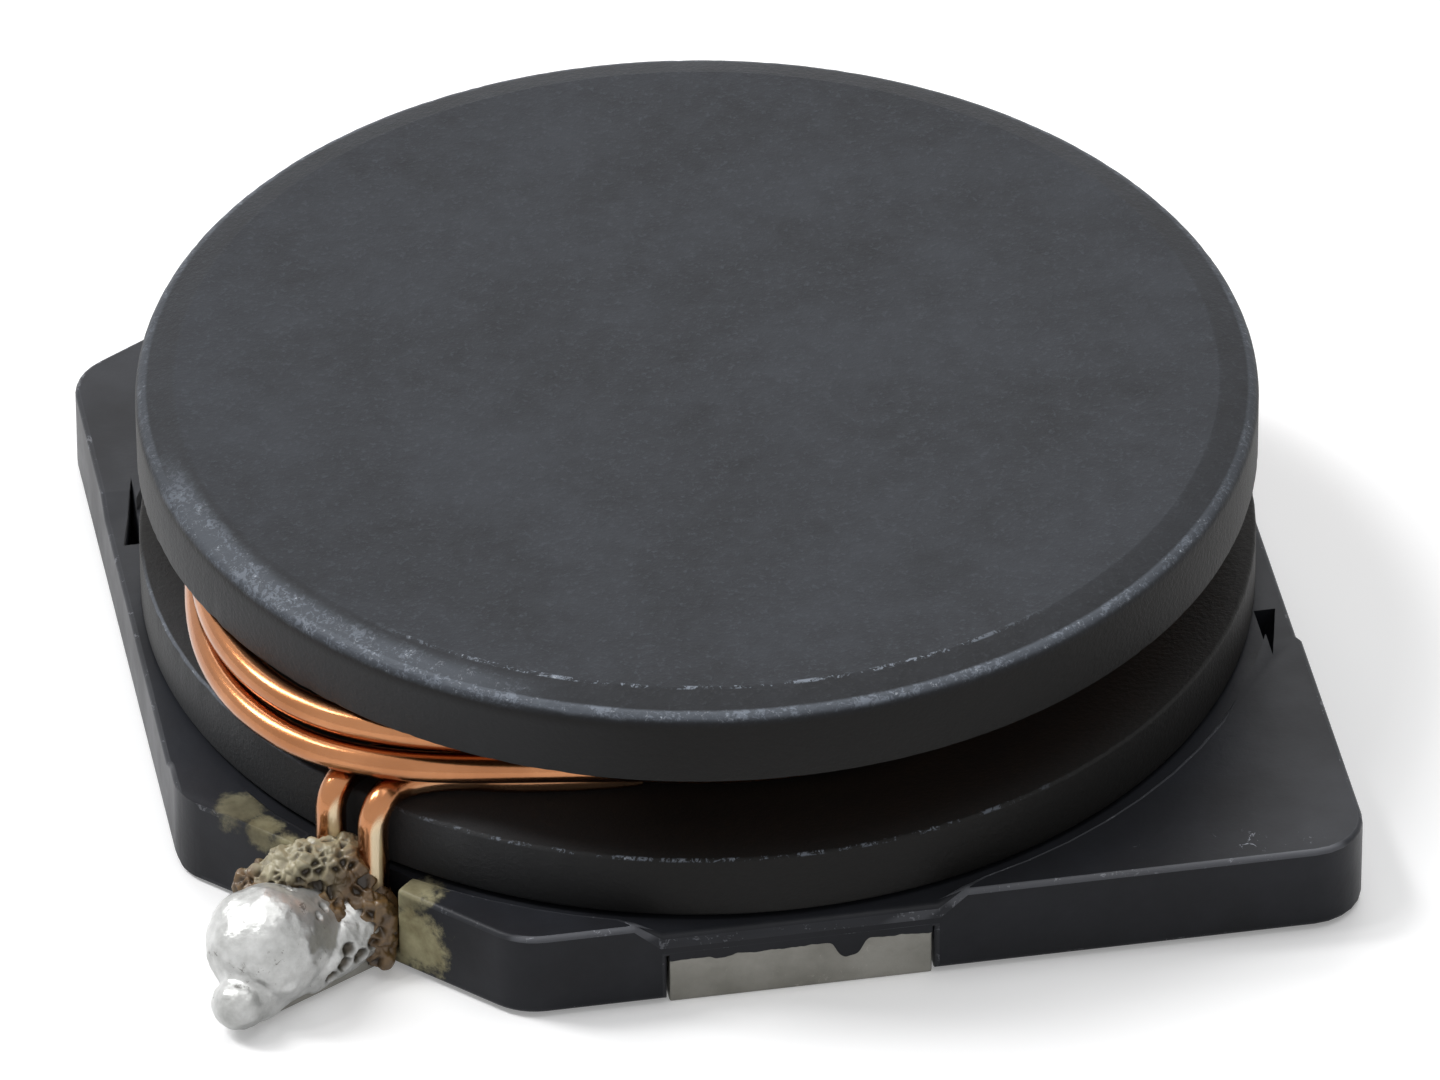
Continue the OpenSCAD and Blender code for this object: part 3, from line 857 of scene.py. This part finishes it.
def makeStrand(name, index, node, turnTree, leadsTree, material):
    s = wire
    same = dict(Thick=s["thick"], Section=s["section"], Material=material)
    pieces = [growWith(turnTree, name + "Turn", Turn=s["turn"], Lag=s["lags"][index],
                       Swing=s["swings"][index], Left=s["leftAngle"], Right=s["rightAngle"],
                       Terminal=float(terminalAzimuth), Height=rowHeights[index + 1],
                       Resolution=s["resolution"], **same)]
    # a lead comes in on the lowest row, bends down and ends in the solder
    side, z = (index - 0.5) * s["pitch"] - s["shift"], rowHeights[0]
    bend = s["bend"]
    route = through(leadRoutes[index] + [(s["lead"] - bend - s["straight"], side)], 6)
    path = [(p.x, p.y, z) for p in route]
    for k in range(0, 91, s["bendStep"]):
        a = math.radians(k)
        path.append((s["lead"] - bend * (1 - math.sin(a)), side, z - bend * (1 - math.cos(a))))
    path.append((s["lead"], side, s["foot"]))
    for azimuth in (terminalAzimuth, terminalAzimuth + 180):
        mesh = bpy.data.meshes.new("lead")
        mesh.from_pydata(path, [(i, i + 1) for i in range(len(path) - 1)], [])
        mesh.transform(Matrix.Rotation(math.radians(azimuth), 4, "Z"))
        pieces.append(growWith(leadsTree, "lead", mesh, **same))
    return makePiece(join(pieces, name), material, "enamelled_copper", node)


def makeWinding():
    # the second copper is the darker, painted-shade copy
    bright, shaded = copperMaterial("enamelledCopper"), copperMaterial("shadedPackedCopper")
    pack = growWith(packTree(), "packedTurns", Pack=wire["pack"], Rows=wire["rows"], Step=rowStep,
                    First=rowHeights[0], Thick=wire["thick"], Looseness=packed["looseness"],
                    Seed=packed["seed"], Resolution=packed["resolution"], Material=shaded)
    makePiece(pack, shaded, "enamelled_copper", "winding")
    turnTree, leadsTree = lastTurnTree(), leadTree()
    makeStrand("lowerStrand", 0, "strand_1", turnTree, leadsTree, bright)
    makeStrand("upperStrand", 1, "strand_2", turnTree, leadsTree, bright)


def softened(name, node, width, segments, chosen, reshape):
    # a merged copy of the node's solid, with the chosen edges rounded and marked
    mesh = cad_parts[node].data.copy()
    mesh.transform(Matrix.Scale(1 / mm, 4))
    work = bmesh.new()
    work.from_mesh(mesh)
    edge = work.faces.layers.float.new("edge")
    bmesh.ops.remove_doubles(work, verts=work.verts, dist=0.001)
    bmesh.ops.dissolve_limit(work, angle_limit=math.radians(0.6), verts=work.verts,
                             edges=work.edges)
    reshape(work)
    sharp = [e for e in work.edges
             if e.is_manifold and e.is_convex and e.calc_face_angle() > math.radians(24)]
    made = bmesh.ops.bevel(work, geom=[e for e in sharp if chosen(e)], offset=width,
                           offset_type="OFFSET", segments=segments, profile=0.5,
                           affect="EDGES", clamp_overlap=False)
    for face in made["faces"]:
        face[edge] = 1
    work.to_mesh(mesh)
    work.free()
    mesh.polygons.foreach_set("use_smooth", [True] * len(mesh.polygons))
    mesh.set_sharp_from_angle(angle=math.radians(40))
    piece = newObject(name, mesh)
    even = piece.modifiers.new("even", "WEIGHTED_NORMAL")
    even.keep_sharp = True
    even.weight = 80
    return settle(piece)


# No edge is rounded round the pockets, which lie within pocketX and pocketY.
baseSizes = dict(edge=0.045, shortest=0.03, outline=5.19, seat=5.265, ramp=0.24, lowHalfX=1.25,
                 lowHalfY=1.85, outerCorner=5.1, pocketSlope=0.235, pocketX=(4.5, 5.18),
                 pocketY=(1.2, 2.7), close=0.01)


def within(value, limits):
    return limits[0] < abs(value) < limits[1]


def baseEdge(e):
    # the outline, the seat's rim and the ends of the low stretches, but none round the pockets
    s = baseSizes
    middle = (e.verts[0].co + e.verts[1].co) / 2
    atRim = math.hypot(middle.x, middle.y) > s["seat"] - s["close"]
    outline = any(all(abs(v.co[k]) > s["outline"] for v in e.verts) for k in (0, 1))
    pocket = within(middle.x, s["pocketX"]) and within(middle.y, s["pocketY"])
    return (outline or atRim) and e.calc_length() > s["shortest"] and not pocket


def rampEnds(work):
    # the corner pads rise from the low stretches in short ramps
    s = baseSizes
    for v in work.verts:
        if v.co.z < baseHigh[2] - 0.001:
            continue
        if abs(abs(v.co.x) - s["lowHalfX"]) < s["close"]:
            v.co.x += math.copysign(s["ramp"], v.co.x)
        if abs(abs(v.co.y) - s["lowHalfY"]) < s["close"]:
            inner = abs(v.co.x) < s["outerCorner"]
            v.co.y += math.copysign(s["ramp"], v.co.y)
            # the inner end slides along the pocket's side or the seat
            if inner and v.co.x * v.co.y < 0:
                v.co.x -= math.copysign(s["ramp"] * s["pocketSlope"], v.co.x)
            elif inner:
                v.co.x = math.copysign(math.sqrt(s["seat"] ** 2 - v.co.y ** 2), v.co.x)


def makeBase(material):
    base = softened("mouldedBase", "base", baseSizes["edge"], 3, baseEdge, rampEnds)
    return makePiece(base, material, "moulded_base", "base", smooth=False)


stripSizes = dict(edge=0.02, shortest=0.1, tabHalf=1.3, tabRecess=0.014, tongueStart=6,
                  tongueCut=0.12, tongueNarrow=0.4, tongueShift=0.1)


def makeTerminal(name, node, azimuth, material):
    s = stripSizes

    def slimTongue(work):
        # the solder hides the tongue, so it is drawn in under it
        turn = Matrix.Rotation(math.radians(-azimuth), 3, "Z")
        for v in work.verts:
            p = turn @ v.co
            if p.x > s["tongueStart"]:
                across = p.y * s["tongueNarrow"] - s["tongueShift"]
                v.co = turn.inverted() @ Vector((p.x - s["tongueCut"], across, p.z))

    piece = softened(name, node, s["edge"], 2, lambda e: e.calc_length() > s["shortest"],
                     slimTongue)
    # the turned-up tab lies a little behind the plastic round it
    co = readVertices(piece.data)
    side = math.copysign(1, co[np.argmax(np.abs(co[:, 1])), 1])
    outer = co[:, 1] * side > baseHigh[1] - s["edge"] - 0.001
    co[outer & (np.abs(co[:, 0]) < s["tabHalf"]), 1] -= side * s["tabRecess"]
    setPoints(piece.data, co)
    return makePiece(piece, material, "tinned_strip", node, smooth=False)


# drips are place, half width and depth; ragged is how fast it varies, its row and its depth
flash = dict(halfWidth=1.19, tabTop=0.49, overlap=0.02, top=0.58, thick=0.02, proud=0.001,
             count=160, drips=((0.44, 0.13, 0.16), (-0.7, 0.1, 0.03)),
             ragged=((4, 0, 0.03), (16, 3, 0.012)))


def makeFlash(name, side, seed, material):
    # the moulding's thin ragged lip over the top of the turned-up tab
    s, count = flash, flash["count"]
    verts, faces = [], []
    y = baseLow[1] + s["proud"]
    back = y + s["thick"]
    for k in range(count + 1):
        x = s["halfWidth"] * (2 * k / count - 1)
        low = s["tabTop"] - s["overlap"]
        for pace, row, depth in s["ragged"]:
            low -= depth * noise.noise(Vector((x * pace, seed, row)))
        for at, width, depth in s["drips"]:
            low -= depth * math.exp(-((x - at) / width) ** 4)
        verts += [(x, y, low), (x, y, s["top"]), (x, back, s["top"]), (x, back, low)]
    for k in range(count):
        a, b = 4 * k, 4 * k + 4
        for i in range(4):
            n = (i + 1) % 4
            faces.append((b + i, b + n, a + n, a + i))
    faces += [(3, 2, 1, 0), (b, b + 1, b + 2, b + 3)]
    mesh = bpy.data.meshes.new(name)
    mesh.from_pydata(verts, [], faces)
    mesh.transform(Matrix.Rotation(math.radians(side), 4, "Z"))
    work = bmesh.new()
    work.from_mesh(mesh)
    bmesh.ops.recalc_face_normals(work, faces=work.faces)
    work.to_mesh(mesh)
    work.free()
    return makePiece(newObject(name, mesh), material, "moulded_base", smooth=False)


# Solder and flux, in a terminal's own frame: out along the diagonal, across and up. Each
# stroke runs from one ball to another, and a ball is its radius and its place.
solderBlobs = dict(
    voxel=0.018, smooth=5, floor=0.045, waves=((0.035, 0.3), (0.008, 0.09)), shrink=0.012,
    pits=26, pitSizes=(0.03, 0.1), pitDepth=0.85, pitOut=6.3, pitAcross=-0.25, pitUp=0.2,
    darkAt=0.05,
    strokes=[[(0.36, 5.66, 0.10, 0.36), (0.31, 6.2, 0.02, 0.30)],
             [(0.42, 6.05, -0.14, 0.48), (0.56, 6.44, -0.2, 0.56)],
             [(0.2, 6.2, 0.06, 0.22), (0.22, 6.75, -0.06, 0.22)],
             [(0.27, 6.6, -0.1, 0.28), (0.262, 6.99, -0.1, 0.29)]])
fluxBlobs = dict(
    voxel=0.013, smooth=3, floor=0.1, waves=((0.04, 0.17), (0.012, 0.06)),
    strokes=[[(0.27, 5.42, -0.06, 0.88), (0.24, 5.72, -0.3, 0.92)],
             [(0.24, 5.72, -0.3, 0.92), (0.2, 6.02, -0.62, 0.74)],
             [(0.22, 5.5, -0.45, 0.7), (0.17, 5.8, -0.68, 0.66)],
             [(0.3, 5.45, 0.05, 0.62), (0.22, 5.52, 0.33, 0.36)],
             [(0.22, 5.5, 0.3, 0.5), (0.16, 5.56, 0.4, 0.18)],
             [(0.24, 5.8, -0.05, 0.6), (0.16, 6.05, 0.1, 0.5)]])
foam = dict(count=420, spread=0.02, burst=0.6, deep=0.055, dome=0.03, wall=0.045,
            paleUp=0.66, paleOut=5.45, paleSlope=0.35, paleEdge=0.2, paleAcross=0.12)


def blobMesh(name, blobs):
    # strokes of merged balls, remeshed to one skin
    work = bmesh.new()
    balls = 9
    for (r0, *a), (r1, *b) in blobs["strokes"]:
        for k in range(balls):
            t = k / (balls - 1)
            at = Matrix.Translation(Vector(a).lerp(Vector(b), t))
            radius = r0 + (r1 - r0) * t
            bmesh.ops.create_icosphere(work, subdivisions=3, radius=radius, matrix=at)
    mesh = bpy.data.meshes.new(name)
    work.to_mesh(mesh)
    work.free()
    piece = newObject(name, mesh)
    skin = piece.modifiers.new("skin", "REMESH")
    skin.mode = "VOXEL"
    skin.voxel_size = blobs["voxel"]
    melt = piece.modifiers.new("melt", "SMOOTH")
    melt.factor = 0.5
    melt.iterations = blobs["smooth"]
    return settle(piece)


def waves(co, blobs, seed):
    (coarse, coarseSize), (fine, fineSize) = blobs["waves"]
    return coarse * noiseAt(co, coarseSize, seed) + fine * noiseAt(co, fineSize, seed + 1)


def press(co, centres, radius, depth, outward):
    # round dents, and how deep each point lies in one
    inside = np.zeros(len(co))
    for centre, r in zip(centres, radius):
        d = np.linalg.norm(co - centre, axis=1) / r
        near = d < 1
        inside[near] = np.maximum(inside[near], np.sqrt(1 - d[near] ** 2) * r)
    return co - outward * (inside * depth)[:, None], inside


def placeAt(piece, co, azimuth, floor):
    # turned to its terminal, and kept off the ground and just inside the part's box
    mesh, spare = piece.data, 0.002
    co[:, 2] = np.maximum(co[:, 2].astype(np.float32), floor)
    setPoints(mesh, co)
    mesh.transform(Matrix.Rotation(math.radians(azimuth), 4, "Z"))
    low, high = [np.array(Vector(v) / mm) for v in cadBounds]
    setPoints(mesh, np.clip(readVertices(mesh), low + spare, high - spare))


def makeSolder(name, node, azimuth, seed, material):
    s = solderBlobs
    piece = blobMesh(name, s)
    co, out = readVertices(piece.data), readVertices(piece.data, "normal")
    co = co + out * (waves(co, s, seed) - s["shrink"])[:, None]
    chosen = np.random.default_rng(seed)
    low = co[(co[:, 0] < s["pitOut"]) & (co[:, 1] > s["pitAcross"]) & (co[:, 2] > s["pitUp"])]
    centres = low[chosen.integers(len(low), size=s["pits"])]
    sizes = chosen.uniform(*s["pitSizes"], s["pits"])
    co, inside = press(co, centres, sizes, s["pitDepth"], out)
    placeAt(piece, co, azimuth, s["floor"])
    # painted shade: how deep each point lies in a dent
    addAttribute(piece.data, "holeShade", np.clip(inside / s["darkAt"], 0, 1))
    return makePiece(piece, material, "solder", node)


def makeFlux(name, node, azimuth, seed, material):
    piece = blobMesh(name, fluxBlobs)
    co, out = readVertices(piece.data), readVertices(piece.data, "normal")
    co = co + out * waves(co, fluxBlobs, seed)[:, None]
    # bubbles: each cell is a dome or has burst, and their walls stand between them
    chosen, count = np.random.default_rng(seed), foam["count"]
    centres = co[chosen.integers(len(co), size=count)]
    centres = centres + chosen.normal(0, foam["spread"], (count, 3))
    burst = chosen.random(count) < foam["burst"]
    tree = kdtree.KDTree(count)
    for i, p in enumerate(centres):
        tree.insert(p, i)
    tree.balance()
    found = [tree.find_n(p, 2) for p in co]
    wall = np.clip(np.array([b[2] - a[2] for a, b in found]) / foam["wall"], 0, 1)
    opened = burst[np.array([a[1] for a, b in found])]
    height = np.where(opened, -foam["deep"] * wall ** 1.5, foam["dome"] * np.sqrt(wall))
    co = co + out * height[:, None]
    # pale on top, and burnt brown lower down and beside the second lead
    s = foam
    pale = co[:, 2] - s["paleUp"] - s["paleSlope"] * (co[:, 0] - s["paleOut"])
    pale = np.clip((pale + 0.22 * noiseAt(co, 0.25, seed + 4)) / s["paleEdge"], 0, 1)
    spots = 0.55 * np.clip((noiseAt(co, 0.12, seed + 5) - 0.15) / 0.2, 0, 1)
    pale = np.maximum(pale, spots) * np.clip((s["paleAcross"] - co[:, 1]) / s["paleEdge"], 0, 1)
    placeAt(piece, co, azimuth, fluxBlobs["floor"])
    addAttribute(piece.data, "foam", pale)
    # painted shade: deepest in the middle of each burst bubble
    addAttribute(piece.data, "holeShade", np.where(opened, wall, 0))
    return makePiece(piece, material, "flux", node)


makeCamera()
for lampName, lampSizes in lamps.items():
    makeLamp(lampName, lampSizes)
makeWorld()
makeFloor()
print("camera, lamps and floor ready")
makeDrum(ferriteMaterial())
makeWinding()
plastic, strip = plasticMaterial(), stripMaterial()
makeBase(plastic)
makeFlash("frontFlash", 0, 2, plastic)
makeFlash("rearFlash", 180, 5, plastic)
rearAzimuth = terminalAzimuth - 180
makeTerminal("frontTerminal", "terminal_1", terminalAzimuth, strip)
makeTerminal("rearTerminal", "terminal_2", rearAzimuth, strip)
solder, flux = solderMaterial(), fluxMaterial()
for label, number, azimuth, seed in (("front", 1, terminalAzimuth, 3), ("rear", 2, rearAzimuth, 8)):
    makeSolder(label + "Solder", f"solder_joint_{number}", azimuth, seed, solder)
    makeFlux(label + "Flux", f"flux_residue_{number}", azimuth, seed, flux)
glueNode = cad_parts["adhesive"]
glueNode.data.materials.clear()
glueNode.data.materials.append(glueMaterial())
bpy.context.scene.view_settings.view_transform = "Standard"
